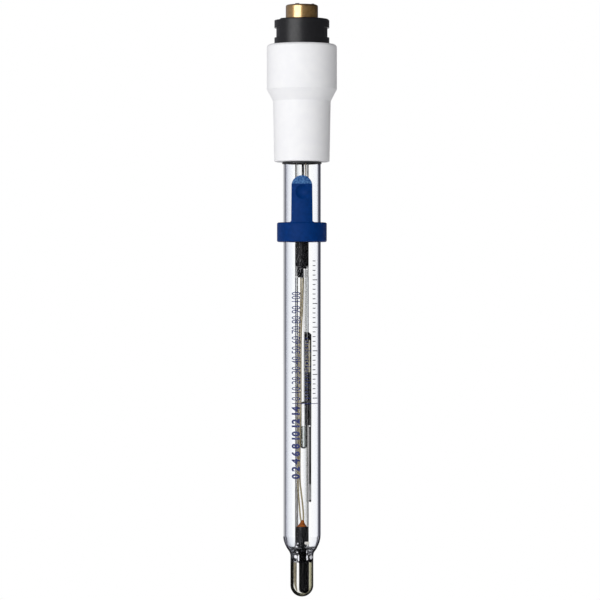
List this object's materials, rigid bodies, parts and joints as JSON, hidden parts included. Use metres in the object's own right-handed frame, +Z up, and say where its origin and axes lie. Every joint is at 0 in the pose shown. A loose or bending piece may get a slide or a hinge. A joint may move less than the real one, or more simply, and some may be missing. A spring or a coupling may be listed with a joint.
{
  "type": "combination pH electrode",
  "caption": "Laboratory glass combination pH electrode: slim glass shaft with a round sensing tip, a sliding filling port cover, a white head cap and a plug-in contact head.",
  "frame": {"origin": "on the shaft's axis at the tip of the glass membrane", "axes": "+Z up the shaft to the contact head, -Y to the front where the slide's tab and the filling port are, +X to the right seen from the front"},
  "size_m": [0.0222, 0.0222, 0.1887],
  "materials": {
    "shaft_glass": "clear drawn glass",
    "stem_glass": "clear drawn glass",
    "membrane_glass": "thin pale olive glass",
    "junction_ceramic": "porous white",
    "sheath_black": "dark satin",
    "plug_rubber": "dark smooth rubber",
    "amber_resin": "amber cast resin",
    "lead_insulation": "olive enamelled wire",
    "coated_silver": "darkened coated silver",
    "silver_chloride": "taupe silver chloride",
    "capsule_gel": "dark grey-green gel",
    "reference_fill": "black granular fill",
    "wool": "cream fibre",
    "rod_dark": "dark banded rod",
    "black_insulation": "black sleeve",
    "pale_insulation": "pale sleeve",
    "seal_rubber": "black rubber",
    "white_plastic": "satin moulded white",
    "potting_resin": "cast resin",
    "black_plastic": "satin moulded black",
    "brass": "turned and gold plated",
    "insulator_plastic": "dark moulded",
    "pin_gold": "gold plated",
    "blue_plastic": "satin moulded dark blue"
  },
  "bodies": {
    "electrode": {"shaft_tube": "shaft_glass", "stem_tube": "stem_glass", "glass_membrane": "membrane_glass", "ceramic_junction": "junction_ceramic", "sensor_sheath": "sheath_black", "sensor_plug": "plug_rubber", "sensor_resin": "amber_resin", "sensor_lead_left": "lead_insulation", "sensor_lead_right": "lead_insulation", "measuring_wire": "coated_silver", "silver_element": "silver_chloride", "inner_capsule": "stem_glass", "capsule_fill": "capsule_gel", "stem_plug": "plug_rubber", "reference_cartridge": "stem_glass", "cartridge_fill": "reference_fill", "cartridge_wool": "wool", "cartridge_stopper": "plug_rubber", "reference_rod": "rod_dark", "rod_pin": "rod_dark", "reference_wire": "coated_silver", "head_lead_dark": "black_insulation", "head_lead_pale": "pale_insulation", "shaft_seal": "seal_rubber", "head_cap": "white_plastic", "cap_potting": "potting_resin", "locking_collar": "black_plastic", "collar_oring": "seal_rubber", "contact_sleeve": "brass", "pin_insulator": "insulator_plastic", "contact_pins": "pin_gold"},
    "slide": {"filling_slide": "blue_plastic"}
  },
  "joints": [
    {"name": "slide_travel", "type": "slide", "parent": "electrode", "child": "slide", "axis": [0, 0, 1], "range_m": [-0.022, 0.003]}
  ]
}
